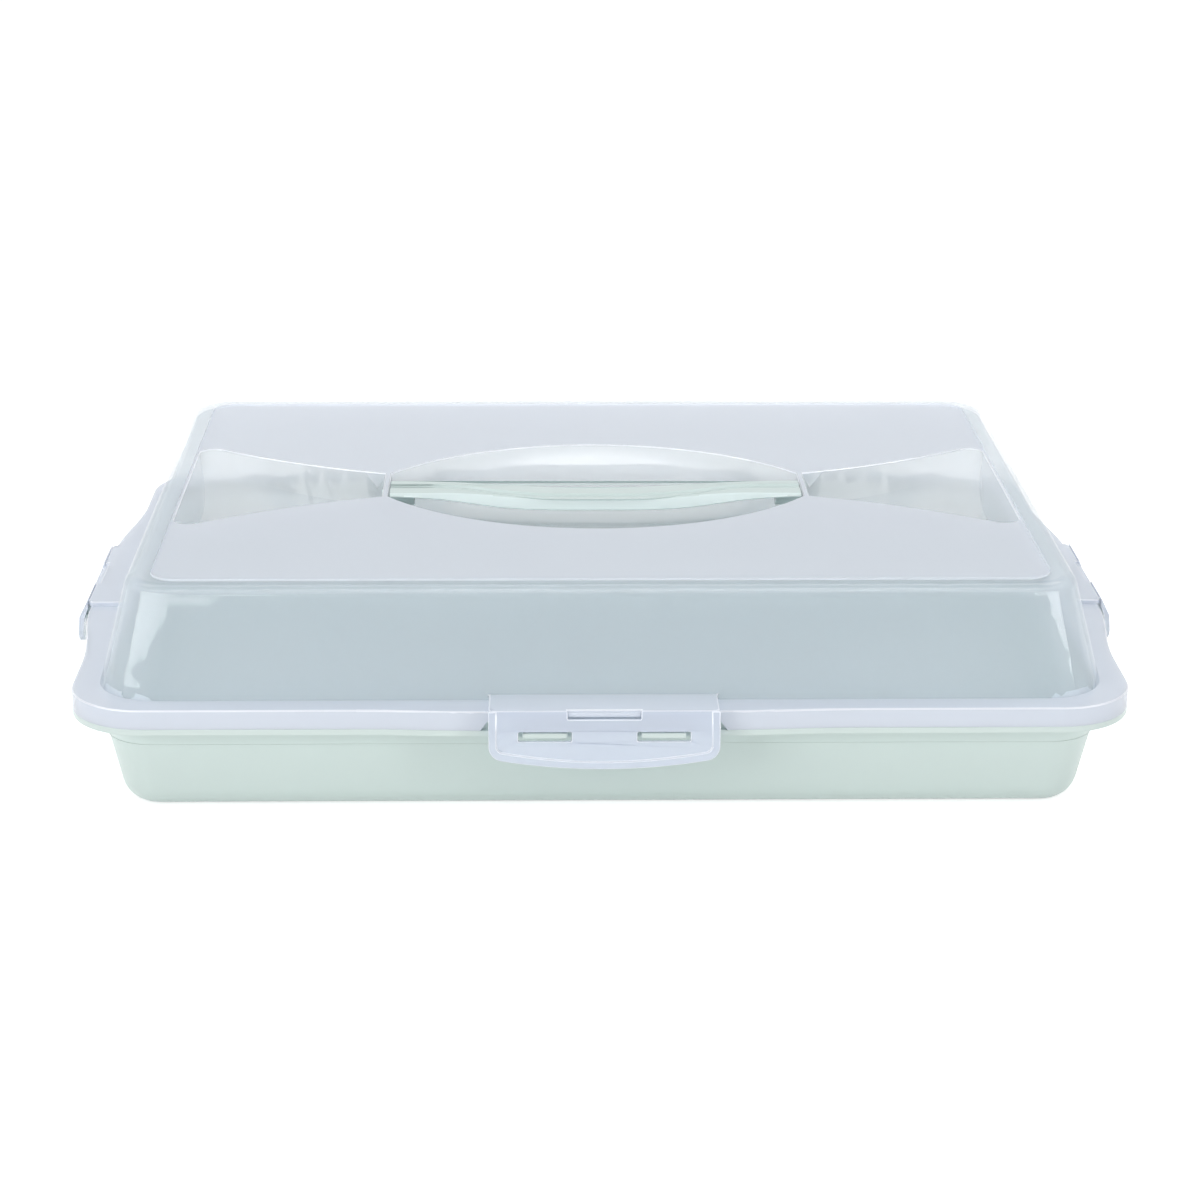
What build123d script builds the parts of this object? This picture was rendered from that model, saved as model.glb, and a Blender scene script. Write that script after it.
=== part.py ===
from build123d import *
import math
import os

os.makedirs("parts", exist_ok=True)

# A rectangular food carrier: mint tray, translucent lid with four snap latches, folding handle.
# Millimetres, +Z up, origin at the centre of the footprint on the surface it stands on.
# X is the long side, the front faces -Y.

# Rim shared by tray and lid
rim_length = 457.0
rim_depth = 356.0
rim_corner = 33.0
side_bulge = 6.8
side_bulge_run = 74.0
front_bulge = 2.4
front_bulge_run = 56.0

# Tray
tray_wall = 2.2
tray_floor = 2.2
foot_height = 1.2
foot_width = 12.0
tray_draft = 12.0
tray_overhang = 12.6
tray_corner_top = 22.0
tray_corner_bottom = 15.0
tray_base_radius = 13.0
shoulder_height = 33.0
shoulder_step = 0.8
lip_bottom = 42.5
lip_thickness = 2.9
ridge_height = 6.0
ridge_thickness = 2.0
ridge_clearance = 0.5

# Lid
lid_wall = 2.0
skirt_height = 8.6
skirt_thickness = 1.8
dome_inset = 11.4
dome_draft = 15.0
dome_height = 47.0
dome_corner_bottom = 27.0
dome_corner_top = 21.0
dome_edge_radius = 6.0
dome_foot_radius = 1.2
flange_edge_radius = 0.8
stack_ring_width = 10.0
stack_ring_corner = 12.0
stack_ring_height = 1.0

# Recess in the lid's top: a round-bottomed trough, opened by two wings and a lens between them
trough_half_width = 71.0
trough_depth = 16.0
waist_half_width = 19.0
lens_half_width = 69.4
wing_half_width = 69.0
wing_middle_half_width = 38.5
wing_corner = 7.0
wing_end_gap = 1.0
wing_end_draft = 22.0
recess_draft = 6.0
recess_edge_radius = 0.6
wall_thickness = 3.0

# Handle and its pins
handle_length = 193.6
handle_end_gap = 0.6
handle_rise = 0.6
handle_thickness = 5.0
handle_end_thickness = 2.6
handle_front_end = 18.0
handle_front_middle = 28.3
handle_back_end = 5.4
handle_back_middle = -7.0
handle_land = 20.0
handle_bend = 46.0
handle_bend_depth = 23.9
handle_middle = 30.0
handle_taper = 36.0
grip_hollow = 2.8
grip_wall = 2.2
grip_hollow_length = 92.0
knuckle_radius = 5.0
knuckle_width = 11.0
knuckle_drop = 0.6
pin_radius = 2.5
pin_clearance = 0.1
pin_end = 0.8

# Latches and their pads
front_latch_length = 97.4
side_latch_length = 86.0
pad_height = 2.2
pad_reach = 7.8
pad_corner = 3.0
hinge_gap = 0.3
latch_crest = 0.4
latch_lean = 3.1
latch_lean_height = 7.8
latch_bulge = 0.7
latch_bulge_height = 15.2
latch_height = 24.2
latch_thickness = 1.8
latch_corner = 6.5
latch_bow = 4.6
bead_width = 3.2
bead_height = 0.8
window_length = 31.0
window_drop = 3.2
window_setback = 1.6

# Lugs on the tray and the slots that they pass through
lug_length = 19.0
lug_offset = 25.0
lug_rise = 0.4
lug_thickness = 2.4
lug_reach = 11.0
lug_corner = 0.8
slot_end_clearance = 1.7
slot_clearance_above = 0.8
slot_clearance_below = 1.0
slot_corner = 0.6
notch_margin = 0.4
notch_height = 4.2
notch_slope = 3.2


def lean(height, draft):
    """How far a drafted wall moves sideways over a height."""
    return height * math.tan(math.radians(draft))


# Levels and half sizes, worked out from the sizes above
half_length = rim_length / 2
half_depth = rim_depth / 2
lip_top = lip_bottom + lip_thickness
flange_top = lip_top + skirt_height
flange_bottom = flange_top - lid_wall
lid_top = flange_top + dome_height
plateau = lid_top - stack_ring_height
dome_top_inset = dome_inset + lean(dome_height, dome_draft)
ring_inset = dome_top_inset + stack_ring_width
ridge_inset = skirt_thickness + ridge_clearance
trough_bottom = plateau - trough_depth
trough_radius = (trough_half_width**2 + trough_depth**2) / (2 * trough_depth)
wall_end = handle_length / 2 + handle_end_gap
wing_start = wall_end + wall_thickness
handle_top = plateau + handle_rise
handle_half = handle_length / 2
pivot_height = handle_top - knuckle_drop - knuckle_radius
hinge_height = flange_top + pad_height
latch_root = pad_reach + hinge_gap
latch_bottom = hinge_height - latch_height
lug_bottom = lip_top - lug_rise
lug_top = lug_bottom + lug_thickness

# Each side of the rim: name, turn about Z from the front, distance of the rim, swelling, latch length
SIDES = [
    ("front", 0, half_depth, front_bulge, front_latch_length),
    ("right", 90, half_length, side_bulge, side_latch_length),
    ("back", 180, half_depth, front_bulge, front_latch_length),
    ("left", 270, half_length, side_bulge, side_latch_length),
]


def rounded(inset, corner):
    """Rounded rectangle that lies inset from the straight sides of the rim."""
    RectangleRounded(rim_length - 2 * inset, rim_depth - 2 * inset, corner)


def rim_outline(inset, mode=Mode.ADD):
    """Rim seen from above: rounded corners, each side swelling smoothly towards its latch."""
    a = half_length - inset
    b = half_depth - inset
    corner = rim_corner - inset
    front_flat = front_latch_length / 2
    front_end = front_flat + front_bulge_run
    side_flat = side_latch_length / 2
    side_end = side_flat + side_bulge_run
    with BuildLine() as rim:
        Line((0, -b - front_bulge), (front_flat, -b - front_bulge))
        Spline((front_flat, -b - front_bulge), (front_end, -b), tangents=[(1, 0), (1, 0)])
        Line((front_end, -b), (a - corner, -b))
        RadiusArc((a - corner, -b), (a, corner - b), -corner)
        Line((a, corner - b), (a, -side_end))
        Spline((a, -side_end), (a + side_bulge, -side_flat), tangents=[(0, 1), (0, 1)])
        Line((a + side_bulge, -side_flat), (a + side_bulge, 0))
        mirror(about=Plane.YZ)
        mirror(about=Plane.XZ)
    make_face(rim.edges(), mode=mode)


def outward(turn):
    """Direction that points out of a side of the rim."""
    return Vector(0, -1, 0).rotate(Axis.Z, turn)


def along(turn):
    """Direction that runs along a side of the rim."""
    return Vector(1, 0, 0).rotate(Axis.Z, turn)


def plan(turn, distance, height):
    """Level plane with its origin on the rim: x runs along the side and -y points out of it."""
    origin = outward(turn) * distance + Vector(0, 0, height)
    return Plane(origin=origin, x_dir=along(turn), z_dir=(0, 0, 1))


def upright(turn, distance):
    """Upright plane that faces out of a side: x runs along it and y points up."""
    return Plane(origin=outward(turn) * distance, x_dir=along(turn), z_dir=outward(turn))


def section(turn, distance):
    """Upright plane across a side, its origin on the rim: x points out of it and y points up."""
    return Plane(origin=outward(turn) * distance, x_dir=outward(turn), z_dir=-along(turn))


def wing_outline(side, drop, grow):
    """A wing of the recess on side 1 or -1, at a depth drop under the plateau."""
    inset = lean(drop, recess_draft) - grow
    start = side * (wing_start - grow)
    end = side * (half_length - ring_inset - wing_end_gap - lean(drop, wing_end_draft) + grow)
    waist = waist_half_width - inset
    swell = wing_middle_half_width - inset
    flare = wing_half_width - inset
    with BuildLine() as wing:
        Line((start, -waist), (start, waist))
        ThreePointArc((start, waist), ((start + end) / 2, swell), (end, flare))
        Line((end, flare), (end, -flare))
        ThreePointArc((end, -flare), ((start + end) / 2, -swell), (start, -waist))
    face = make_face(wing.edges())
    fillet(face.vertices().sort_by(Axis.X, reverse=side > 0)[:2], wing_corner)


def lens_outline(drop, grow):
    """The middle of the recess, where the handle lies, at a depth drop under the plateau."""
    inset = lean(drop, recess_draft) - grow
    end = wall_end + grow
    waist = waist_half_width - inset
    swell = lens_half_width - inset
    with BuildLine() as lens:
        Line((-end, -waist), (-end, waist))
        ThreePointArc((-end, waist), (0, swell), (end, waist))
        Line((end, waist), (end, -waist))
        ThreePointArc((end, -waist), (0, -swell), (-end, -waist))
    make_face(lens.edges())


def recess_pocket(place, top, grow):
    """One pocket of the recess, with drafted walls that end on the round floor of the trough.

    place is 0 for the lens, and -1 or 1 for a wing. grow widens the pocket and lowers its floor.
    """
    with BuildPart() as pocket:
        for height in (top, trough_bottom - 2 * lid_wall):
            with BuildSketch(Plane.XY.offset(height)):
                if place:
                    wing_outline(place, plateau - height, grow)
                else:
                    lens_outline(plateau - height, grow)
        loft(ruled=True)
        with Locations((0, 0, trough_bottom + trough_radius)):
            Cylinder(trough_radius + grow, rim_length, rotation=(0, 90, 0), mode=Mode.INTERSECT)
    return pocket.part


def handle_outline(inset):
    """Handle seen from above, its front and back edges drawn in by inset."""
    front_end = inset - handle_front_end
    front_middle = inset - handle_front_middle
    straight = handle_middle / 2
    with BuildLine() as bow:
        Line((handle_half, handle_back_end - inset), (handle_half, front_end))
        Line((handle_half, front_end), (land_end, front_end))
        Spline(
            (land_end, front_end),
            (handle_bend, inset - handle_bend_depth),
            (straight, front_middle),
            tangents=[(-1, 0), (-1, 0)],
        )
        Line((straight, front_middle), (-straight, front_middle))
        Spline(
            (-straight, front_middle),
            (-handle_bend, inset - handle_bend_depth),
            (-land_end, front_end),
            tangents=[(-1, 0), (-1, 0)],
        )
        Line((-land_end, front_end), (-handle_half, front_end))
        Line((-handle_half, front_end), (-handle_half, handle_back_end - inset))
        Spline(
            (-handle_half, handle_back_end - inset),
            (0, handle_back_middle - inset),
            (handle_half, handle_back_end - inset),
            tangents=[(1, 0), (1, 0)],
        )
    make_face(bow.edges())


def latch_layer(side, thickening, rim_only):
    """Plate of a latch, thickened outwards, or only the border of it that carries the bead."""
    _, turn, distance, _, length = side
    lean_height = hinge_height - latch_lean_height
    bulge_height = hinge_height - latch_bulge_height
    root_end = hinge_height - (latch_thickness - latch_crest) * latch_lean_height / latch_lean
    crest = latch_root + latch_crest
    lower = crest + latch_lean
    outer = lower + latch_bulge
    with BuildPart() as layer:
        with BuildSketch(section(turn, distance)):
            with BuildLine():
                Polyline(
                    (latch_root, hinge_height),
                    (crest, hinge_height),
                    (lower + thickening, lean_height),
                    (outer + thickening, bulge_height),
                    (outer + thickening, latch_bottom),
                    (outer - latch_thickness, latch_bottom),
                    (outer - latch_thickness, bulge_height),
                    (lower - latch_thickness, lean_height),
                    (latch_root, root_end),
                    close=True,
                )
            make_face()
        extrude(amount=length / 2, both=True)
        with BuildSketch(upright(turn, distance)):
            latch_outline(length, 0, Mode.ADD)
            if rim_only:
                latch_outline(length, bead_width, Mode.SUBTRACT)
        extrude(amount=rim_depth, mode=Mode.INTERSECT)
    return layer.part


def latch_outline(length, inset, mode):
    """Latch seen from the front: a bowed lower edge with rounded corners, shrunk by inset."""
    half = length / 2 - inset
    corner = latch_bottom + latch_bow + inset
    with BuildLine() as border:
        Line((-half, hinge_height), (half, hinge_height))
        Line((half, hinge_height), (half, corner))
        ThreePointArc((half, corner), (0, latch_bottom + inset), (-half, corner))
        Line((-half, corner), (-half, hinge_height))
        fillet(border.vertices().group_by(Axis.Y)[0], latch_corner - inset)
    make_face(border.edges(), mode=mode)


# Hollow of the tray
tray_base_inset = tray_overhang + lean(lip_bottom, tray_draft)
inner_floor = foot_height + tray_floor
with BuildPart() as tray_hollow:
    with BuildSketch(Plane.XY.offset(inner_floor)):
        rounded(tray_base_inset - lean(inner_floor, tray_draft) + tray_wall, tray_corner_bottom)
    with BuildSketch(Plane.XY.offset(lip_top)):
        rounded(tray_base_inset - lean(lip_top, tray_draft) + tray_wall, tray_corner_top)
    loft(ruled=True)
    fillet(tray_hollow.edges().group_by(Axis.Z)[0], tray_base_radius - tray_wall)

# Tray
shoulder_inset = tray_base_inset - lean(shoulder_height, tray_draft) - shoulder_step
with BuildPart() as tray:
    # Drafted wall with its rounded foot
    with BuildSketch(Plane.XY):
        rounded(tray_base_inset, tray_corner_bottom)
    with BuildSketch(Plane.XY.offset(lip_bottom)):
        rounded(tray_overhang, tray_corner_top)
    loft(ruled=True)
    fillet(tray.edges().group_by(Axis.Z)[0], tray_base_radius)

    # Shoulder under the flange
    with BuildSketch(Plane.XY.offset(shoulder_height)):
        rounded(shoulder_inset, tray_corner_top)
    with BuildSketch(Plane.XY.offset(lip_bottom)):
        rounded(tray_overhang - shoulder_step, tray_corner_top)
    loft(ruled=True)

    # Flange that carries the lid, and the ridge that stands inside the lid's skirt
    with BuildSketch(Plane.XY.offset(lip_bottom)):
        rim_outline(0)
    extrude(amount=lip_thickness)
    with BuildSketch(Plane.XY.offset(lip_top)):
        rim_outline(ridge_inset)
        rim_outline(ridge_inset + ridge_thickness, mode=Mode.SUBTRACT)
    extrude(amount=ridge_height)

    # Two lugs on each side, which the slots of the latch drop over
    for _, turn, distance, bulge, _ in SIDES:
        lug_start = bulge - ridge_inset
        with BuildSketch(plan(turn, distance, lug_bottom)):
            with Locations((0, -(lug_start + lug_reach) / 2)):
                with GridLocations(2 * lug_offset, 0, 2, 1):
                    RectangleRounded(lug_length, lug_reach - lug_start, lug_corner)
        extrude(amount=lug_thickness)

    # Hollow, and the shallow space under the floor that leaves a foot all round
    add(tray_hollow.part, mode=Mode.SUBTRACT)
    with BuildSketch(Plane.XY):
        rounded(tray_base_inset + tray_base_radius + foot_width, tray_corner_bottom)
    extrude(amount=foot_height, mode=Mode.SUBTRACT)
tray.part.label = "tray"
export_step(tray.part, "parts/tray.step")

# Hollow of the lid
hollow_inset = dome_inset + lid_wall - lean(lid_wall, dome_draft)
hollow_top = plateau - lid_wall
with BuildPart() as lid_hollow:
    with BuildSketch(Plane.XY.offset(flange_bottom)):
        rounded(hollow_inset, dome_corner_bottom - lid_wall)
    with BuildSketch(Plane.XY.offset(hollow_top)):
        rounded(hollow_inset + lean(hollow_top - flange_bottom, dome_draft), dome_corner_top - lid_wall)
    loft(ruled=True)
    fillet(lid_hollow.edges().group_by(Axis.Z)[-1], dome_edge_radius - lid_wall)

# Lid
recess_walls = [recess_pocket(place, plateau, lid_wall) for place in (-1, 0, 1)]
recess_spaces = [recess_pocket(place, lid_top, 0) for place in (-1, 0, 1)]
with BuildPart() as lid:
    # Flange and skirt
    with BuildSketch(Plane.XY.offset(lip_top)):
        rim_outline(0)
        rim_outline(skirt_thickness, mode=Mode.SUBTRACT)
    extrude(amount=skirt_height)
    with BuildSketch(Plane.XY.offset(flange_bottom)):
        rim_outline(0)
    extrude(amount=lid_wall)
    fillet(lid.edges().group_by(Axis.Z)[-1], flange_edge_radius)

    # Dome
    with BuildSketch(Plane.XY.offset(flange_top)):
        rounded(dome_inset, dome_corner_bottom)
    with BuildSketch(Plane.XY.offset(lid_top)):
        rounded(dome_top_inset, dome_corner_top)
    loft(ruled=True)
    fillet(lid.edges().group_by(Axis.Z)[-1], dome_edge_radius)

    # Pads that carry the latches
    for _, turn, distance, _, length in SIDES:
        with BuildSketch(plan(turn, distance, flange_top)):
            with Locations((0, (dome_inset + lid_wall - pad_reach) / 2)):
                pad = Rectangle(length, dome_inset + lid_wall + pad_reach)
            fillet(pad.vertices().group_by(Axis.Y)[0], pad_corner)
        extrude(amount=pad_height)

    # Plateau inside the stacking ring
    with BuildSketch(Plane.XY.offset(plateau)):
        rounded(ring_inset, stack_ring_corner)
    extrude(amount=stack_ring_height, mode=Mode.SUBTRACT)

    # Hollow, then the recess with its walls
    add(lid_hollow.part, mode=Mode.SUBTRACT)
    add(recess_walls)
    add(recess_spaces, mode=Mode.SUBTRACT)
    top_face = lid.faces().filter_by_position(Axis.Z, plateau, plateau).sort_by(SortBy.AREA)[-1]
    fillet([edge for wire in top_face.inner_wires() for edge in wire.edges()], recess_edge_radius)
    with Locations((0, 0, pivot_height)):
        Cylinder(pin_radius + pin_clearance, 2 * (wing_start + wall_thickness), rotation=(0, 90, 0),
                 mode=Mode.SUBTRACT)

    for _, turn, distance, _, length in SIDES:
        # Opening in the skirt behind the latch, with sloping ends
        notch_half = length / 2 + notch_margin
        with BuildSketch(upright(turn, distance - dome_inset)):
            with Locations((0, lip_top)):
                Trapezoid(2 * (notch_half + notch_slope), notch_height,
                          math.degrees(math.atan2(notch_height, notch_slope)),
                          align=(Align.CENTER, Align.MIN))
        extrude(amount=dome_inset + pad_reach, mode=Mode.SUBTRACT)

        # Window between the pad and the root of the latch
        with BuildSketch(plan(turn, distance, flange_top)):
            with Locations((0, window_setback / 2 - pad_reach)):
                Rectangle(window_length, window_setback)
        extrude(amount=pad_height, mode=Mode.SUBTRACT)
lid.part.label = "lid"
export_step(lid.part, "parts/lid.step")

# Handle
land_end = handle_half - handle_land
grip_end = land_end - handle_taper
thin = handle_top - handle_end_thickness
thick = handle_top - handle_thickness
with BuildPart() as handle:
    # Seen from above: straight ends, and a grip that bows to the front
    with BuildSketch(Plane.XY.offset(thick)):
        handle_outline(0)
    extrude(amount=handle_thickness)

    # Seen from the front: thin ends, and a grip that is deeper
    with BuildSketch(Plane.XZ):
        with BuildLine():
            Line((0, handle_top), (handle_half, handle_top))
            Line((handle_half, handle_top), (handle_half, thin))
            Line((handle_half, thin), (land_end, thin))
            Spline((land_end, thin), (grip_end, thick), tangents=[(-1, 0), (-1, 0)])
            Line((grip_end, thick), (0, thick))
            mirror(about=Plane.YZ)
        make_face()
    extrude(amount=rim_depth, both=True, mode=Mode.INTERSECT)

    # Hollow under the grip
    with BuildSketch(Plane.XY.offset(thick)):
        handle_outline(grip_wall)
        Rectangle(grip_hollow_length, rim_depth, mode=Mode.INTERSECT)
    extrude(amount=grip_hollow, mode=Mode.SUBTRACT)

    # Knuckles, and the pins that turn in the thin walls of the lid
    pin_length = wing_start + pin_end - handle_half + knuckle_width
    for side in (-1, 1):
        with Locations((side * (handle_half - knuckle_width / 2), 0, pivot_height)):
            Cylinder(knuckle_radius, knuckle_width, rotation=(0, 90, 0))
        with Locations((side * (handle_half - knuckle_width + pin_length / 2), 0, pivot_height)):
            Cylinder(pin_radius, pin_length, rotation=(0, 90, 0))
handle.part.label = "handle"
export_step(handle.part, "parts/handle.step")

# Latches
for side in SIDES:
    name, turn, distance, _, length = side
    with BuildPart() as latch:
        add(latch_layer(side, 0, False))
        add(latch_layer(side, bead_height, True))

        # Slots that drop over the lugs of the tray
        slot_bottom = lug_bottom - slot_clearance_below
        slot_top = lug_top + slot_clearance_above
        with BuildSketch(upright(turn, distance)):
            with Locations((0, (slot_bottom + slot_top) / 2)):
                with GridLocations(2 * lug_offset, 0, 2, 1):
                    RectangleRounded(lug_length + 2 * slot_end_clearance, slot_top - slot_bottom, slot_corner)
        extrude(amount=dome_inset + pad_reach, mode=Mode.SUBTRACT)

        # Window in the root
        with BuildSketch(upright(turn, distance)):
            with Locations((0, hinge_height - window_drop / 2)):
                Rectangle(window_length, window_drop)
        extrude(amount=dome_inset + pad_reach, mode=Mode.SUBTRACT)
    latch.part.label = f"latch_{name}"
    export_step(latch.part, f"parts/latch_{name}.step")
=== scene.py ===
import logging
import math
from contextlib import contextmanager
from dataclasses import dataclass, field
from enum import Enum
from typing import Iterator, Sequence

import bmesh
import bpy
from mathutils import Matrix, Quaternion, Vector
from mathutils.bvhtree import BVHTree


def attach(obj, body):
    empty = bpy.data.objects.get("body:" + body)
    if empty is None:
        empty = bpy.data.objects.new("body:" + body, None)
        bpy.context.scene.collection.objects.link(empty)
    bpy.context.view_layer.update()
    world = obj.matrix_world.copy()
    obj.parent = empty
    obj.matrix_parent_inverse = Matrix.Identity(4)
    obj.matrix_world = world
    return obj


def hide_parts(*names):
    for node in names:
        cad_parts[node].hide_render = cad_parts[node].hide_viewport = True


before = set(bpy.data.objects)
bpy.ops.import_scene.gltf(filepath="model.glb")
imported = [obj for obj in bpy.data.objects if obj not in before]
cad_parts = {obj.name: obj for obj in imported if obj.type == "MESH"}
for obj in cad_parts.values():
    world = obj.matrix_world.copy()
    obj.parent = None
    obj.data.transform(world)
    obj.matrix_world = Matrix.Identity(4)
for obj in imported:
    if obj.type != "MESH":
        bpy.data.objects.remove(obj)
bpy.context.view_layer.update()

logging.basicConfig(level=logging.INFO, format="%(message)s")
log = logging.getLogger("carrier")

Colour = tuple[float, float, float]
Point = tuple[float, float, float]
Profile = tuple[tuple[float, float], ...]

MM = 0.001
HALF_LENGTH = 228.5 * MM
HALF_DEPTH = 178.0 * MM
# Distances under which two points are one, or a point lies on a surface.
MERGE = 0.002 * MM
NEAR = 0.05 * MM
# Angles between faces: above the first an edge is rounded, under the second it is shaded smooth.
SHARP = math.radians(38.0)
SMOOTH = math.radians(28.0)
# Share of a rounding's width by which it may cut into the wall.
DEEPEST = 0.3
# Cosine between the normals of two faces that count as the same face.
ALIKE = 0.999
BEVEL_STEPS = 2
ROUNDING_STEPS = 3
FACE_WEIGHT = 100
NOISE_MIDDLE = 0.5
WHITE: Colour = (1.0, 1.0, 1.0)


class Side(Enum):
    """The four sides of the carrier, each with the direction that points out of it."""

    FRONT = (0.0, -1.0)
    RIGHT = (1.0, 0.0)
    BACK = (0.0, 1.0)
    LEFT = (-1.0, 0.0)

    @property
    def node(self) -> str:
        """Name of the latch on this side."""
        return f"latch_{self.name.lower()}"

    @property
    def rim(self) -> float:
        """Distance of the rim from the middle on this side."""
        return HALF_LENGTH if self.value[0] else HALF_DEPTH


def rgba(colour: Colour) -> tuple[float, float, float, float]:
    """Colour with full alpha, as a shader socket wants it."""
    return (*colour, 1.0)


def smoothstep(share: float) -> float:
    """Ease a share between 0 and 1 at both ends."""
    return share * share * (3.0 - 2.0 * share)


def connect(tree: bpy.types.NodeTree, source: bpy.types.NodeSocket,
            target: bpy.types.NodeSocket) -> None:
    """Link two sockets of one node tree."""
    tree.links.new(source, target)


def maths(tree: bpy.types.NodeTree, operation: str,
          *values: bpy.types.NodeSocket | float) -> bpy.types.NodeSocket:
    """Add a Math node.

    Args:
        tree: the node tree that it joins.
        operation: name of the Math operation.
        values: numbers, or sockets to link.

    Returns:
        The node's output.
    """
    node = tree.nodes.new("ShaderNodeMath")
    node.operation = operation
    for socket, value in zip(node.inputs, values):
        if isinstance(value, (int, float)):
            socket.default_value = value
        else:
            connect(tree, value, socket)
    return node.outputs[0]


def swing(tree: bpy.types.NodeTree, noise: bpy.types.NodeSocket,
          amount: bpy.types.NodeSocket) -> bpy.types.NodeSocket:
    """Noise that swings about zero, times an amount."""
    return maths(tree, "MULTIPLY", maths(tree, "SUBTRACT", noise, NOISE_MIDDLE), amount)


def bump(tree: bpy.types.NodeTree, height: bpy.types.NodeSocket, strength: bpy.types.NodeSocket,
         distance: float, normal: bpy.types.NodeSocket | None = None) -> bpy.types.NodeSocket:
    """Add a Bump node.

    Args:
        tree: the node tree that it joins.
        height: the height to follow.
        strength: how strongly it is followed.
        distance: height of a full step.
        normal: the normal to start from, or none for the surface's own.

    Returns:
        The bent normal.
    """
    node = tree.nodes.new("ShaderNodeBump")
    node.inputs["Distance"].default_value = distance
    connect(tree, strength, node.inputs["Strength"])
    connect(tree, height, node.inputs["Height"])
    if normal:
        connect(tree, normal, node.inputs["Normal"])
    return node.outputs["Normal"]


class ShaderGroup:
    """A node group that materials share: it gives out only colours, masks, values and normals."""

    def __init__(self, name: str, inputs: Sequence[tuple[str, str, float | Colour]],
                 outputs: Sequence[tuple[str, str]]) -> None:
        """Make the group's sockets.

        Args:
            name: the group's name.
            inputs: name, socket type and default value of each input.
            outputs: name and socket type of each output.
        """
        self.tree = bpy.data.node_groups.new(name, "ShaderNodeTree")
        for label, kind, default in inputs:
            socket = self.tree.interface.new_socket(label, in_out="INPUT", socket_type=kind)
            socket.default_value = rgba(default) if isinstance(default, tuple) else default
        for label, kind in outputs:
            self.tree.interface.new_socket(label, in_out="OUTPUT", socket_type=kind)
        self.source = self.tree.nodes.new("NodeGroupInput")
        self.result = self.tree.nodes.new("NodeGroupOutput")

    def noise(self, scale: float, detail: float, roughness: float = 0.5) -> bpy.types.NodeSocket:
        """Noise on object coordinates, centred on NOISE_MIDDLE."""
        where = self.tree.nodes.new("ShaderNodeTexCoord")
        node = self.tree.nodes.new("ShaderNodeTexNoise")
        for name, value in (("Scale", scale), ("Detail", detail), ("Roughness", roughness)):
            node.inputs[name].default_value = value
        connect(self.tree, where.outputs["Object"], node.inputs["Vector"])
        return node.outputs["Fac"]


@dataclass(frozen=True)
class MouldedSkin:
    """Skin of a moulded plastic part: fine grain, slow waves of the wall and faint cloudiness."""

    grain_scale: float = 1900.0
    grain_detail: float = 2.0
    grain_height: float = 0.05 * MM
    grain_in_gloss: float = 0.3
    wave_scale: float = 26.0
    wave_detail: float = 1.0
    wave_height: float = 0.6 * MM
    cloud_scale: float = 9.0
    cloud_detail: float = 3.0
    cloud_roughness: float = 0.6

    def make(self) -> bpy.types.NodeTree:
        """Build the group that every finish uses."""
        group = ShaderGroup(
            "MouldedSkin",
            [("Colour", "NodeSocketColor", (0.8, 0.8, 0.8)), ("Roughness", "NodeSocketFloat", 0.4),
             ("Grain", "NodeSocketFloat", 0.1), ("Waves", "NodeSocketFloat", 0.1),
             ("Cloud", "NodeSocketFloat", 0.03)],
            [("Colour", "NodeSocketColor"), ("Roughness", "NodeSocketFloat"),
             ("Normal", "NodeSocketVector")],
        )
        tree, given, result = group.tree, group.source.outputs, group.result.inputs
        grain = group.noise(self.grain_scale, self.grain_detail)
        waves = group.noise(self.wave_scale, self.wave_detail)
        cloud = group.noise(self.cloud_scale, self.cloud_detail, self.cloud_roughness)

        tint = tree.nodes.new("ShaderNodeHueSaturation")
        connect(tree, given["Colour"], tint.inputs["Color"])
        connect(tree, maths(tree, "ADD", swing(tree, cloud, given["Cloud"]), 1.0), tint.inputs["Value"])
        connect(tree, tint.outputs["Color"], result["Colour"])

        rough = maths(tree, "MULTIPLY", swing(tree, grain, given["Grain"]), self.grain_in_gloss)
        connect(tree, maths(tree, "ADD", rough, given["Roughness"]), result["Roughness"])

        fine = bump(tree, grain, given["Grain"], self.grain_height)
        connect(tree, bump(tree, waves, given["Waves"], self.wave_height, fine), result["Normal"])
        return tree


@dataclass(frozen=True)
class Finish:
    """A finish: how one plastic looks, and how it is made as a material."""

    name: str
    colour: Colour
    roughness: float = 0.4
    grain: float = 0.1
    waves: float = 0.1
    cloud: float = 0.04
    ior: float = 1.49
    specular: float = 0.5
    transmission: float = 0.0
    subsurface: float = 0.0
    subsurface_radius: Colour = (0.004, 0.004, 0.004)
    subsurface_scale: float = 1.0
    alpha: float = 1.0

    def make(self, skin: bpy.types.NodeTree) -> bpy.types.Material:
        """Build the material on the moulded skin group."""
        material = bpy.data.materials.new(self.name)
        material.use_nodes = True
        tree = material.node_tree
        shader = tree.nodes["Principled BSDF"]
        for name, value in (("IOR", self.ior), ("Specular IOR Level", self.specular),
                            ("Transmission Weight", self.transmission),
                            ("Subsurface Weight", self.subsurface),
                            ("Subsurface Radius", self.subsurface_radius),
                            ("Subsurface Scale", self.subsurface_scale), ("Alpha", self.alpha)):
            shader.inputs[name].default_value = value
        surface = tree.nodes.new("ShaderNodeGroup")
        surface.node_tree = skin
        for name, value in (("Colour", rgba(self.colour)), ("Roughness", self.roughness),
                            ("Grain", self.grain), ("Waves", self.waves), ("Cloud", self.cloud)):
            surface.inputs[name].default_value = value
        for name, target in (("Colour", "Base Color"), ("Roughness", "Roughness"), ("Normal", "Normal")):
            connect(tree, surface.outputs[name], shader.inputs[target])
        return material


def coat(piece: bpy.types.Object, *materials: bpy.types.Material) -> None:
    """Give a piece these materials and no others."""
    piece.data.materials.clear()
    for material in materials:
        piece.data.materials.append(material)


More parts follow.
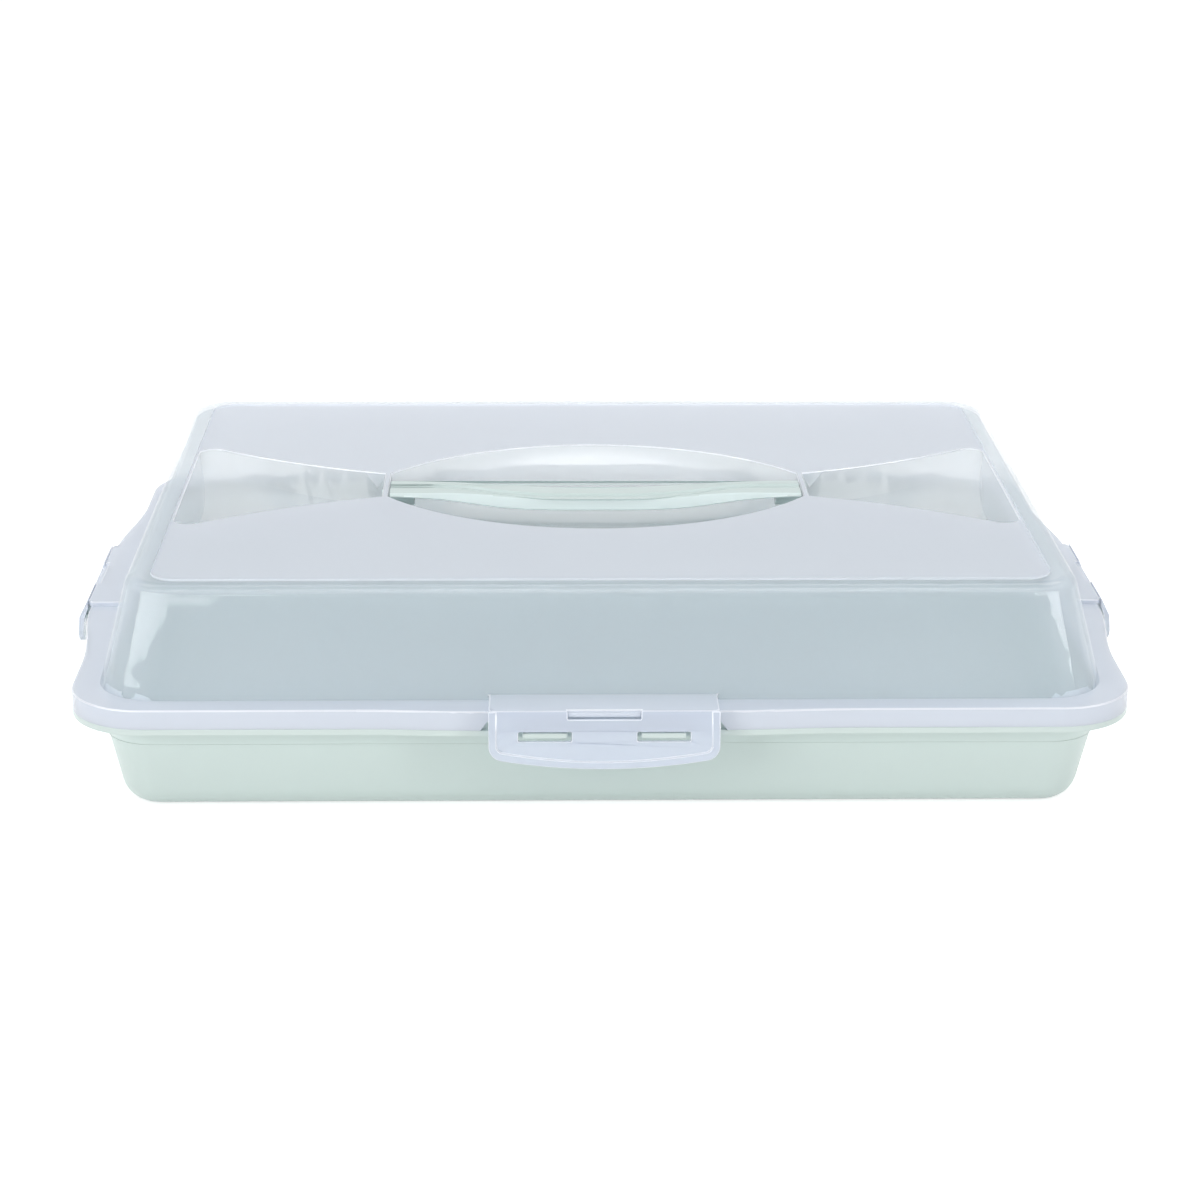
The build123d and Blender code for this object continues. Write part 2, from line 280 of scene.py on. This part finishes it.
def pick(piece: bpy.types.Object) -> None:
    """Make a piece the only one selected, and the active one."""
    bpy.ops.object.select_all(action="DESELECT")
    piece.select_set(True)
    bpy.context.view_layer.objects.active = piece


@contextmanager
def edit_mode() -> Iterator[None]:
    """Edit the active object, with all of its mesh selected at first."""
    bpy.ops.object.mode_set(mode="EDIT")
    bpy.ops.mesh.select_all(action="SELECT")
    yield
    bpy.ops.object.mode_set(mode="OBJECT")


def merged_copy(node: str, name: str) -> bpy.types.Object:
    """Copy a CAD node's mesh into a new piece, its loose triangles joined.

    Args:
        node: the CAD node.
        name: name of the new piece.

    Returns:
        The new piece.
    """
    piece = bpy.data.objects.new(name, bpy.data.objects[node].data.copy())
    bpy.context.collection.objects.link(piece)
    pick(piece)
    bpy.ops.mesh.customdata_custom_splitnormals_clear()
    with edit_mode():
        bpy.ops.mesh.remove_doubles(threshold=MERGE)
    return piece


def face_tree(mesh: bpy.types.Mesh) -> BVHTree:
    """Search tree of a mesh's faces."""
    places = [vertex.co for vertex in mesh.vertices]
    return BVHTree.FromPolygons(places, [tuple(polygon.vertices) for polygon in mesh.polygons])


def soften(piece: bpy.types.Object, width: float) -> None:
    """Round a piece's sharp edges with its last material and shade the rest smooth.

    A vertex that the rounding puts outside the piece's box or too deep in its wall goes back to the
    nearest point on the wall.

    Args:
        piece: the piece.
        width: width of the rounding.
    """
    pick(piece)
    walls = face_tree(piece.data)
    places = [vertex.co for vertex in piece.data.vertices]
    lowest = [min(values) for values in zip(*places)]
    highest = [max(values) for values in zip(*places)]
    bevel = piece.modifiers.new("rounding", "BEVEL")
    bevel.width = width
    bevel.segments = BEVEL_STEPS
    bevel.limit_method = "ANGLE"
    bevel.angle_limit = SHARP
    bevel.use_clamp_overlap = False
    bevel.miter_outer = "MITER_ARC"
    # The rounding faces take the last material; on the latches that is the painted-highlight edge finish.
    bevel.material = len(piece.data.materials) - 1
    bpy.ops.object.modifier_apply(modifier=bevel.name)
    for vertex in piece.data.vertices:
        on_wall, _, _, gap = walls.find_nearest(vertex.co)
        inside = all(low <= value <= high for low, value, high in zip(lowest, vertex.co, highest))
        if gap > width * DEEPEST or not inside:
            vertex.co = on_wall
    shade(piece)


def shade(piece: bpy.types.Object) -> None:
    """Shade a piece smooth, with its broad faces kept flat up to their rounded edges."""
    pick(piece)
    bpy.ops.object.shade_smooth_by_angle(angle=SMOOTH)
    weigh = piece.modifiers.new("flat_faces", "WEIGHTED_NORMAL")
    weigh.keep_sharp = True
    weigh.weight = FACE_WEIGHT
    bpy.ops.object.modifier_apply(modifier=weigh.name)


def settle(piece: bpy.types.Object, body: str, slot: str, *nodes: str) -> None:
    """Hang a piece on its body's empty and hide the nodes it replaces."""
    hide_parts(*nodes)
    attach(piece, body)
    log.info("%s built, %d faces", piece.name, len(piece.data.polygons))


@dataclass
class Tray:
    """The opaque mint tray."""

    rounding: float = 0.5 * MM
    finish: Finish = Finish("mint_tray", (0.66, 0.76, 0.735), roughness=0.34, grain=0.12, waves=0.05,
                            subsurface=0.12)

    def build(self, skin: bpy.types.NodeTree) -> None:
        """Soften the tray's edges and give it its finish."""
        piece = merged_copy("tray", "tray_shell")
        coat(piece, self.finish.make(skin))
        soften(piece, self.rounding)
        settle(piece, "tray", "mint_plastic", "tray")


class Zone(Enum):
    """The parts of the lid that differ in finish, numbered as their material slots."""

    DOME = 0
    FROSTED = 1
    RECESS = 2
    RIM = 3
    # Rounded edges, in a lighter finish that is a painted highlight.
    EDGE = 4
    INNER = 5


@dataclass
class Lid:
    """The translucent lid with its polished recess.

    The fields that begin with gleam, lens and wing place the bright mark in the back half of the
    recess, which ends in a straight line.
    """

    plateau: float = 100.0 * MM
    flat_half_length: float = 194.7 * MM
    flat_half_depth: float = 144.2 * MM
    flange_top: float = 54.0 * MM
    pad_top: float = 56.2 * MM
    pad_rounding: float = 0.7 * MM
    trough_radius: float = 165.53 * MM
    trough_axis: float = 249.53 * MM
    trough_half_width: float = 73.5 * MM
    trough_low: float = 80.0 * MM
    edge_low: float = 53.1 * MM
    edge_drop: float = 0.65 * MM
    upright: float = 0.15
    level: float = 0.97
    facing_up: float = 0.1
    ramp: float = 0.19
    gleam_tilt: float = math.radians(20.4)
    gleam_most: float = math.radians(30.0)
    gleam_rate: float = math.radians(1.5) / MM
    gleam_look: float = math.radians(16.2)
    lens_level: float = 105.4 * MM
    lens_end: float = 90.0 * MM
    wing_level: float = 98.2 * MM
    wing_end: float = 185.0 * MM
    wing_rise: float = 0.07
    web_length: float = 30.6 * MM
    web_inner: float = 6.0 * MM
    web_outer: float = 7.85 * MM
    web_height: float = 1.9 * MM
    web_level: float = 54.4 * MM
    web_rounding: float = 0.35 * MM
    wall: float = 2.0 * MM
    dome: Finish = Finish("polished_dome", (0.80, 0.88, 0.96), roughness=0.03, grain=0.0, waves=0.01,
                          specular=1.0, transmission=0.40, alpha=0.42)
    inner: Finish = Finish("inner_dome", (0.80, 0.88, 0.96), roughness=0.3, grain=0.05, waves=0.02,
                           specular=0.2, transmission=0.40, alpha=0.42)
    frosted: Finish = Finish("frosted_top", (0.73, 0.775, 0.85), roughness=0.6, grain=0.25, waves=0.03,
                             transmission=0.15, alpha=0.88)
    recess: Finish = Finish("polished_recess", (0.86, 0.90, 0.94), roughness=0.02, grain=0.0,
                            waves=0.01, specular=1.0, transmission=0.30, alpha=0.58)
    rim: Finish = Finish("milky_rim", (0.82, 0.88, 0.98), roughness=0.13, grain=0.05, waves=0.03,
                         specular=1.0, transmission=0.08, alpha=0.76)
    # Lighter, less clear finish on the lid's rounded edges: a painted highlight that stands in for the
    # bright lines along them.
    edge: Finish = Finish("lid_edge_painted_highlight", (0.88, 0.91, 0.98), roughness=0.15, grain=0.05, waves=0.03,
                          specular=1.0, alpha=0.86)

    def build(self, skin: bpy.types.NodeTree) -> None:
        """Make the lid's shell, with rounded pads and a true trough, and give it its finishes."""
        piece = merged_copy("lid", "lid_shell")
        finishes = (self.dome, self.frosted, self.recess, self.rim, self.edge, self.inner)
        coat(piece, *(finish.make(skin) for finish in finishes))
        self.slope_walls(piece.data)
        self.round_pads(piece)
        shade(piece)
        self.true_curves(piece.data)
        self.true_trough(piece.data)
        for polygon in piece.data.polygons:
            # The pads' bevel faces keep the painted-highlight edge finish.
            if polygon.material_index != Zone.EDGE.value:
                polygon.material_index = self.zone(piece.data, polygon).value
        settle(piece, "lid", "clear_plastic", "lid")
        for side in Side:
            self.web(side, piece.data.materials[Zone.RIM.value])

    def zone(self, mesh: bpy.types.Mesh, polygon: bpy.types.MeshPolygon) -> Zone:
        """Zone of the lid that a face belongs to."""
        corners = [mesh.vertices[index].co for index in polygon.vertices]
        low, high = min(co.z for co in corners), max(co.z for co in corners)
        middle, up = polygon.center, polygon.normal.z
        tilted = self.upright < up < self.level
        if high < self.pad_top + MERGE:
            if tilted and low > self.flange_top - MERGE:
                return Zone.DOME
            # Tilted faces at the flange's edge take the painted-highlight edge finish.
            return Zone.EDGE if tilted and high > self.edge_low else Zone.RIM
        if abs(middle.x) < self.flat_half_length and abs(middle.y) < self.flat_half_depth:
            # The plateau's rounded border takes the painted-highlight edge finish as well.
            if low > self.plateau - self.edge_drop and up < self.level:
                return Zone.EDGE
            if low > self.plateau - MERGE and high < self.plateau + MERGE:
                return Zone.FROSTED
        near = all(abs(co.x) < self.flat_half_length and abs(co.y) < self.trough_half_width
                   for co in corners)
        if near and low > self.trough_low and high - low >= MERGE:
            return Zone.RECESS
        return Zone.INNER if up < 0.0 else Zone.DOME

    def web(self, side: Side, material: bpy.types.Material) -> None:
        """Add the thin web that closes the window between a pad and its latch."""
        out_x, out_y = side.value
        distance = side.rim + (self.web_inner + self.web_outer) / 2
        depth = self.web_outer - self.web_inner
        bpy.ops.object.select_all(action="DESELECT")
        bpy.ops.mesh.primitive_cube_add(
            size=1.0, location=(out_x * distance, out_y * distance, self.web_level),
            scale=(depth if out_x else self.web_length, self.web_length if out_x else depth,
                   self.web_height))
        piece = bpy.context.object
        piece.name = f"hinge_web_{side.name.lower()}"
        bpy.ops.object.transform_apply(location=True, rotation=True, scale=True)
        with edit_mode():
            bpy.ops.mesh.bevel(offset=self.web_rounding, segments=ROUNDING_STEPS)
        bpy.ops.object.shade_smooth_by_angle(angle=SMOOTH)
        coat(piece, material)
        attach(piece, "lid")
        log.info("%s built", piece.name)

    def on_trough(self, co: Vector) -> bool:
        """Whether a point lies on the upper side of the trough."""
        reach = math.hypot(co.y, co.z - self.trough_axis)
        return abs(reach - self.trough_radius) < NEAR and abs(co.x) < self.flat_half_length

    def in_back_half(self, polygon: bpy.types.MeshPolygon, corners: Sequence[Vector]) -> bool:
        """Whether a face is part of the recess behind the handle, seen from above."""
        faces_up = polygon.normal.z > self.facing_up and polygon.normal.y < 0.0
        highest = self.plateau - self.edge_drop / 2
        between = all(self.trough_low < co.z < highest and co.y > 0.0 for co in corners)
        return faces_up and between and any(self.on_trough(co) for co in corners)

    def tilt(self, co: Vector, own: float) -> float:
        """Tilt of the recess's surface towards the front at a point.

        Args:
            co: the point.
            own: tilt of the plain trough there.

        Returns:
            The tilt, steeper above the level where the softbox begins to show.
        """
        height = co.y * math.sin(self.gleam_look) + co.z * math.cos(self.gleam_look)
        level = self.lens_level
        if abs(co.x) > self.lens_end:
            level = self.wing_level + (self.wing_end - abs(co.x)) * self.wing_rise
        return min(max(own, self.gleam_tilt + (height - level) * self.gleam_rate), self.gleam_most)

    def slope_walls(self, mesh: bpy.types.Mesh) -> None:
        """Draw the trough's border inwards, so that the walls of the pockets rise as soft ramps."""
        for vertex in mesh.vertices:
            if self.on_trough(vertex.co) and abs(vertex.co.y) < self.trough_half_width:
                vertex.co.y *= 1.0 - self.ramp
                vertex.co.z = self.trough_axis - math.sqrt(self.trough_radius**2 - vertex.co.y**2)

    def round_pads(self, piece: bpy.types.Object) -> None:
        """Round the top edges of the four latch pads, with the lighter edge finish, a painted highlight.
        """
        pick(piece)
        with edit_mode():
            bpy.ops.mesh.select_mode(type="EDGE")
            bpy.ops.mesh.select_all(action="DESELECT")
            mesh = bmesh.from_edit_mesh(piece.data)
            for edge in mesh.edges:
                on_top = all(abs(corner.co.z - self.pad_top) < MERGE for corner in edge.verts)
                edge.select_set(on_top and edge.is_convex and edge.calc_face_angle(0.0) > SHARP)
            bmesh.update_edit_mesh(piece.data)
            bpy.ops.mesh.bevel(offset=self.pad_rounding, segments=ROUNDING_STEPS, clamp_overlap=False,
                               material=Zone.EDGE.value)

    @staticmethod
    def true_curves(mesh: bpy.types.Mesh) -> None:
        """Give each face that is as in the CAD its own normals, so that it mirrors without ripples."""
        source = bpy.data.objects["lid"].data
        faces = face_tree(source)
        normals = [corner.vector.copy() for corner in mesh.corner_normals]
        for polygon in mesh.polygons:
            _, _, index, gap = faces.find_nearest(polygon.center)
            if gap > MERGE or source.polygons[index].normal.dot(polygon.normal) < ALIKE:
                continue
            for loop, corner in zip(polygon.loop_indices, polygon.vertices):
                co = mesh.vertices[corner].co
                for own in source.polygons[index].loop_indices:
                    place = source.vertices[source.loops[own].vertex_index].co
                    if (place - co).length < 2 * MERGE:
                        normals[loop] = source.corner_normals[own].vector.copy()
        mesh.normals_split_custom_set(normals)

    def true_trough(self, mesh: bpy.types.Mesh) -> None:
        """Give both sides of the recess's round floor the normals of a cylinder, and place its gleam."""
        normals = [corner.vector.copy() for corner in mesh.corner_normals]
        for polygon in mesh.polygons:
            corners = [mesh.vertices[index].co for index in polygon.vertices]
            arms = [Vector((0.0, co.y, co.z - self.trough_axis)) for co in corners]
            for radius, sign in ((self.trough_radius, -1.0), (self.trough_radius + self.wall, 1.0)):
                if all(abs(arm.length - radius) < NEAR for arm in arms):
                    for loop, arm in zip(polygon.loop_indices, arms):
                        normals[loop] = sign * arm.normalized()
            if self.in_back_half(polygon, corners):
                for loop, co in zip(polygon.loop_indices, corners):
                    own = math.asin(co.y / self.trough_radius) if self.on_trough(co) else 0.0
                    tilt = self.tilt(co, own)
                    normals[loop] = Vector((0.0, -math.sin(tilt), math.cos(tilt)))
        mesh.normals_split_custom_set(normals)


@dataclass
class Handle:
    """The mint folding handle: a bowed grip, hollow underneath, with a knuckle and a pin at each end.

    Each profile runs along one line of the grip, from back to front: millimetres in Y from the line,
    and millimetres under the grip's top.
    """

    top: float = 100.6 * MM
    half: float = 96.8 * MM
    steps: int = 88
    back_profile: Profile = ((0.0, 1.6), (-0.3, 0.7), (-1.0, 0.15), (-2.0, 0.0))
    crown_profile: Profile = ((1.6, 0.1), (0.9, -0.35), (-0.3, -0.35), (-1.5, 0.45))
    groove_profile: Profile = ((1.5, 0.45), (0.4, 1.7), (-0.4, 1.7), (-1.2, 0.0))
    front_profile: Profile = ((0.8, 0.1), (0.2, 0.4))
    sag: float = 0.1 * MM
    slant: float = 0.65
    slant_knee: float = 0.8
    knee_drop: float = 0.9 * MM
    foot_height: float = 0.6 * MM
    foot_depth: float = 0.4 * MM
    # Depth and facing of the front faces that take the painted highlight.
    face_depth: float = 3.6 * MM
    face_facing: float = -0.3
    front_end: float = -18.0 * MM
    front_middle: float = -28.3 * MM
    crown_end: float = -2.1 * MM
    crown_travel: float = -16.1 * MM
    groove_gap_end: float = 4.6 * MM
    groove_gap_middle: float = 6.6 * MM
    under_end: float = 98.9 * MM
    under_middle: float = 95.6 * MM
    under_rise: float = 1.7
    hollow: float = 2.6 * MM
    roof_least: float = 0.2 * MM
    wall: float = 2.2 * MM
    widths_of_wall: float = 5.0
    pivot: float = 95.0 * MM
    knuckle_radius: float = 5.0 * MM
    knuckle_start: float = 85.8 * MM
    pin_radius: float = 2.5 * MM
    pin_end: float = 101.2 * MM
    rod_sides: int = 48
    digits: int = 6
    # Lighter mint with more subsurface on the grip's front face: a painted highlight for the front light
    # that falls on it.
    face: Finish = Finish("mint_front_painted_highlight", (0.70, 0.82, 0.82), roughness=0.2, grain=0.1, waves=0.03,
                          subsurface=0.3)
    finish: Finish = Finish("mint_handle", (0.58, 0.69, 0.68), roughness=0.2, grain=0.1, waves=0.03,
                            subsurface=0.12)

    def build(self, skin: bpy.types.NodeTree) -> None:
        """Loft the grip, add its knuckles and pins, and give it its finishes."""
        piece = self.grip()
        for side in (-1.0, 1.0):
            for end, radius in ((self.half, self.knuckle_radius), (self.pin_end, self.pin_radius)):
                middle = (self.knuckle_start + end) / 2
                self.join_rod(piece, side * middle, end - self.knuckle_start, radius)
        shade(piece)
        coat(piece, self.finish.make(skin), self.face.make(skin))
        # Forward-facing faces near the front edge take the lighter finish, a painted highlight.
        fronts = self.edge(True)
        for polygon in piece.data.polygons:
            reach = polygon.center.y - self.follow(fronts, polygon.center.x)
            takes_painted_highlight = polygon.normal.y < self.face_facing and reach < self.face_depth
            polygon.material_index = int(takes_painted_highlight)
        settle(piece, "handle", "mint_plastic", "handle")

    def edge(self, front: bool) -> list[tuple[float, float]]:
        """Points (X, Y) of the front or back edge of the CAD handle's top, in order of X."""
        split = (self.front_end + self.front_middle) / 4
        points = {(round(co.x, self.digits), round(co.y, self.digits))
                  for co in (vertex.co for vertex in bpy.data.objects["handle"].data.vertices)
                  if co.z > self.top - NEAR and (co.y < split) == front}
        return sorted(points)

    @staticmethod
    def follow(points: list[tuple[float, float]], x: float) -> float:
        """Y of an edge at X, straight between its points."""
        for (x0, y0), (x1, y1) in zip(points, points[1:]):
            if x0 <= x <= x1 and x1 > x0:
                return y0 + (y1 - y0) * (x - x0) / (x1 - x0)
        return points[0][1] if x < points[0][0] else points[-1][1]

    def along(self, line: float, profile: Profile) -> list[tuple[float, float]]:
        """Points (Y, Z) of a profile at a line whose Y is given."""
        return [(line + reach * MM, self.top - drop * MM) for reach, drop in profile]

    def section(self, x: float, front: float, back: float) -> list[tuple[float, float]]:
        """Closed section (Y, Z) of the grip at X, from the back edge over the top to the front and below.

        Args:
            x: station along the handle.
            front: Y of the front edge there.
            back: Y of the back edge there.

        Returns:
            The section's points.
        """
        bow = (self.front_end - front) / (self.front_end - self.front_middle)
        crown = self.crown_end + self.crown_travel * bow
        groove = crown - (self.groove_gap_end + (self.groove_gap_middle - self.groove_gap_end) * bow)
        share = smoothstep(min(max((self.half - abs(x)) / self.half * self.under_rise, 0.0), 1.0))
        under = self.under_end + (self.under_middle - self.under_end) * share
        wall = min(self.wall, (back - front) / self.widths_of_wall)
        slant = (self.top - under) * self.slant
        roof = max(self.top - self.hollow, under + self.roof_least)
        return [
            (back, under), *self.along(back, self.back_profile),
            ((back + crown) / 2, self.top - self.sag), *self.along(crown, self.crown_profile),
            *self.along(groove, self.groove_profile),
            ((groove + front + slant) / 2 - self.sag, self.top),
            *self.along(front + slant, self.front_profile),
            (front + slant * self.slant_knee, self.top - self.knee_drop),
            (front, under + self.foot_height), (front + self.foot_depth, under),
            (front + wall, under), (front + wall, roof), (back - wall, roof), (back - wall, under),
        ]

    def grip(self) -> bpy.types.Object:
        """Loft the grip: a grid whose columns are stations and whose rows are the section's points."""
        fronts, backs = self.edge(True), self.edge(False)
        stations = [self.half * (2.0 * step / self.steps - 1.0) for step in range(self.steps + 1)]
        rings = [self.section(x, self.follow(fronts, x), self.follow(backs, x)) for x in stations]
        count = len(rings[0])
        bpy.ops.object.select_all(action="DESELECT")
        bpy.ops.mesh.primitive_grid_add(x_subdivisions=self.steps, y_subdivisions=count, size=2.0)
        piece = bpy.context.object
        piece.name = "handle_grip"
        for vertex in piece.data.vertices:
            column = round((vertex.co.x + 1.0) / 2.0 * self.steps)
            row = round((vertex.co.y + 1.0) / 2.0 * count) % count
            vertex.co = (stations[column], *rings[column][row])
        with edit_mode():
            bpy.ops.mesh.remove_doubles(threshold=MERGE)
            bpy.ops.mesh.select_all(action="DESELECT")
            bpy.ops.mesh.select_mode(type="EDGE")
            bpy.ops.mesh.select_non_manifold()
            bpy.ops.mesh.fill()
            bpy.ops.mesh.select_all(action="SELECT")
            bpy.ops.mesh.normals_make_consistent(inside=False)
        return piece

    def join_rod(self, piece: bpy.types.Object, x: float, length: float, radius: float) -> None:
        """Unite the grip with a round rod that lies along X through the pivot.

        Args:
            piece: the grip.
            x: middle of the rod.
            length: its length.
            radius: its radius.
        """
        bpy.ops.object.select_all(action="DESELECT")
        bpy.ops.mesh.primitive_cylinder_add(
            vertices=self.rod_sides, radius=radius, depth=length, location=(x, 0.0, self.pivot),
            rotation=(0.0, math.pi / 2, 0.0))
        rod = bpy.context.object
        bpy.ops.object.transform_apply(location=True, rotation=True, scale=True)
        pick(piece)
        union = piece.modifiers.new("union", "BOOLEAN")
        union.operation = "UNION"
        union.solver = "EXACT"
        union.object = rod
        bpy.ops.object.modifier_apply(modifier=union.name)
        bpy.data.objects.remove(rod)


@dataclass
class Latches:
    """The four translucent latches."""

    rounding: float = 0.38 * MM
    finish: Finish = Finish("milky_latch", (0.75, 0.82, 0.94), roughness=0.12, grain=0.05, waves=0.03,
                            specular=1.0, transmission=0.15, alpha=0.74)
    # Lighter finish on the latches' rounded edges: a painted highlight.
    edge: Finish = Finish("latch_edge_painted_highlight", (0.86, 0.90, 0.98), roughness=0.15, grain=0.05,
                          waves=0.03, specular=1.0, alpha=0.88)

    def build(self, skin: bpy.types.NodeTree) -> None:
        """Soften each latch's edges and give it its finishes."""
        plate, edge = self.finish.make(skin), self.edge.make(skin)
        for side in Side:
            piece = merged_copy(side.node, f"{side.node}_flap")
            coat(piece, plate, edge)
            soften(piece, self.rounding)
            settle(piece, side.node, "clear_plastic", side.node)


@dataclass
class Lamp:
    """A softbox or a card: an area lamp that looks at a point.

    A softbox that doesn't gleam isn't seen in mirrors. A card only is: it lights nothing else.
    """

    name: str
    place: Point
    aim: Point
    width: float
    height: float
    radiance: float
    turn: float = 0.0
    lights: bool = True
    gleams: bool = True

    def make(self) -> None:
        """Add the lamp to the scene; its power follows from its size and radiance."""
        bpy.ops.object.light_add(type="AREA", location=self.place)
        lamp = bpy.context.object
        lamp.name = self.name
        facing = (Vector(self.aim) - Vector(self.place)).to_track_quat("-Z", "Y")
        roll = Quaternion((0.0, 0.0, 1.0), math.radians(self.turn))
        lamp.rotation_euler = (facing @ roll).to_euler()
        lamp.visible_diffuse = self.lights
        lamp.visible_transmission = self.lights
        lamp.visible_glossy = self.gleams
        lamp.data.shape = "RECTANGLE"
        lamp.data.size = self.width
        lamp.data.size_y = self.height
        lamp.data.energy = self.radiance * math.pi * self.width * self.height


@dataclass
class Studio:
    """White floor, soft lamps and an even white surround."""

    floor_half: float = 9.0
    floor_colour: Colour = (0.93, 0.93, 0.93)
    floor_roughness: float = 0.9
    floor_specular: float = 0.1
    floor_lift: float = 0.55
    surround: float = 0.465
    lamps: list[Lamp] = field(default_factory=lambda: [
        Lamp("softbox_above", place=(0.0, 0.60, 1.645), aim=(0.0, 0.05, 0.09),
             width=2.8, height=0.8, radiance=1.8),
        Lamp("softbox_overhead", place=(0.0, -0.62, 1.55), aim=(0.0, -0.15, 0.05),
             width=2.8, height=0.2, radiance=2.2),
        Lamp("softbox_left", place=(-1.85, -1.85, 0.80), aim=(0.0, 0.0, 0.1),
             width=1.2, height=0.9, radiance=5.9, gleams=False),
        Lamp("softbox_right", place=(2.0, -1.75, 0.80), aim=(0.0, 0.0, 0.1),
             width=0.5, height=0.9, radiance=9.0, gleams=False),
        Lamp("card_left", place=(-1.685, -1.869, 1.183), aim=(0.160, -0.024, 0.485),
             width=3.46, height=1.32, radiance=5.2, turn=5.3, lights=False),
        Lamp("card_right", place=(1.758, -1.937, 1.022), aim=(-0.207, -0.218, 0.334),
             width=2.6, height=0.85, radiance=6.5, turn=-9.4, lights=False),
    ])

    def build(self) -> None:
        """Make the floor, the lamps and the world."""
        bpy.ops.mesh.primitive_plane_add(size=2 * self.floor_half)
        floor = bpy.context.object
        floor.name = "floor"
        floor.data.materials.append(self.floor_material())
        for lamp in self.lamps:
            lamp.make()
        self.build_world()
        log.info("studio built")

    def floor_material(self) -> bpy.types.Material:
        """White floor that shows the camera a little more light than it gives to the part."""
        material = bpy.data.materials.new("studio_floor")
        material.use_nodes = True
        tree = material.node_tree
        shader = tree.nodes["Principled BSDF"]
        for name, value in (("Base Color", rgba(self.floor_colour)), ("Roughness", self.floor_roughness),
                            ("Specular IOR Level", self.floor_specular), ("Emission Color", rgba(WHITE))):
            shader.inputs[name].default_value = value
        connect(tree, self.seen(tree, self.floor_lift), shader.inputs["Emission Strength"])
        return material

    @staticmethod
    def seen(tree: bpy.types.NodeTree, amount: float) -> bpy.types.NodeSocket:
        """An amount for camera, mirror and glass rays, and nothing for the rest."""
        path = tree.nodes.new("ShaderNodeLightPath")
        rays = maths(tree, "MAXIMUM", path.outputs["Is Camera Ray"], path.outputs["Is Glossy Ray"])
        rays = maths(tree, "MAXIMUM", rays, path.outputs["Is Transmission Ray"])
        return maths(tree, "MULTIPLY", rays, amount)

    def build_world(self) -> None:
        """White where it is seen, and a plain level where it lights the part."""
        world = bpy.data.worlds.new("surround")
        bpy.context.scene.world = world
        world.use_nodes = True
        tree = world.node_tree
        background = tree.nodes["Background"]
        background.inputs["Color"].default_value = rgba(WHITE)
        level = maths(tree, "ADD", self.seen(tree, 1.0 - self.surround), self.surround)
        connect(tree, level, background.inputs["Strength"])


@dataclass
class PhotoCamera:
    """The camera, where the photograph was taken from."""

    place: Point = (-31.4 * MM, -1309.8 * MM, 490.9 * MM)
    pitch: float = math.radians(18.92)
    yaw: float = math.radians(1.49)
    roll: float = math.radians(0.35)
    sensor: float = 36.0
    focal_pixels: float = 2871.8
    image_pixels: float = 1200.0
    nearest: float = 0.01
    farthest: float = 50.0

    def build(self) -> None:
        """Add the camera and make it the scene's own."""
        forward = Vector((math.sin(self.yaw) * math.cos(self.pitch),
                          math.cos(self.yaw) * math.cos(self.pitch), -math.sin(self.pitch)))
        level = Vector((math.cos(self.yaw), -math.sin(self.yaw), 0.0))
        upright = level.cross(forward)
        right = level * math.cos(self.roll) + upright * math.sin(self.roll)
        up = upright * math.cos(self.roll) - level * math.sin(self.roll)
        bpy.ops.object.camera_add()
        camera = bpy.context.object
        camera.name = "photo_camera"
        turn = Matrix((right, up, -forward)).transposed().to_4x4()
        camera.matrix_world = Matrix.Translation(self.place) @ turn
        camera.data.sensor_width = self.sensor
        camera.data.lens = self.focal_pixels / self.image_pixels * self.sensor
        camera.data.clip_start = self.nearest
        camera.data.clip_end = self.farthest
        bpy.context.scene.camera = camera


def main() -> None:
    """Dress the carrier and build the studio round it."""
    skin = MouldedSkin().make()
    Tray().build(skin)
    Lid().build(skin)
    Handle().build(skin)
    Latches().build(skin)
    Studio().build()
    PhotoCamera().build()
    bpy.context.scene.view_settings.view_transform = "Standard"


if __name__ == "__main__":
    main()
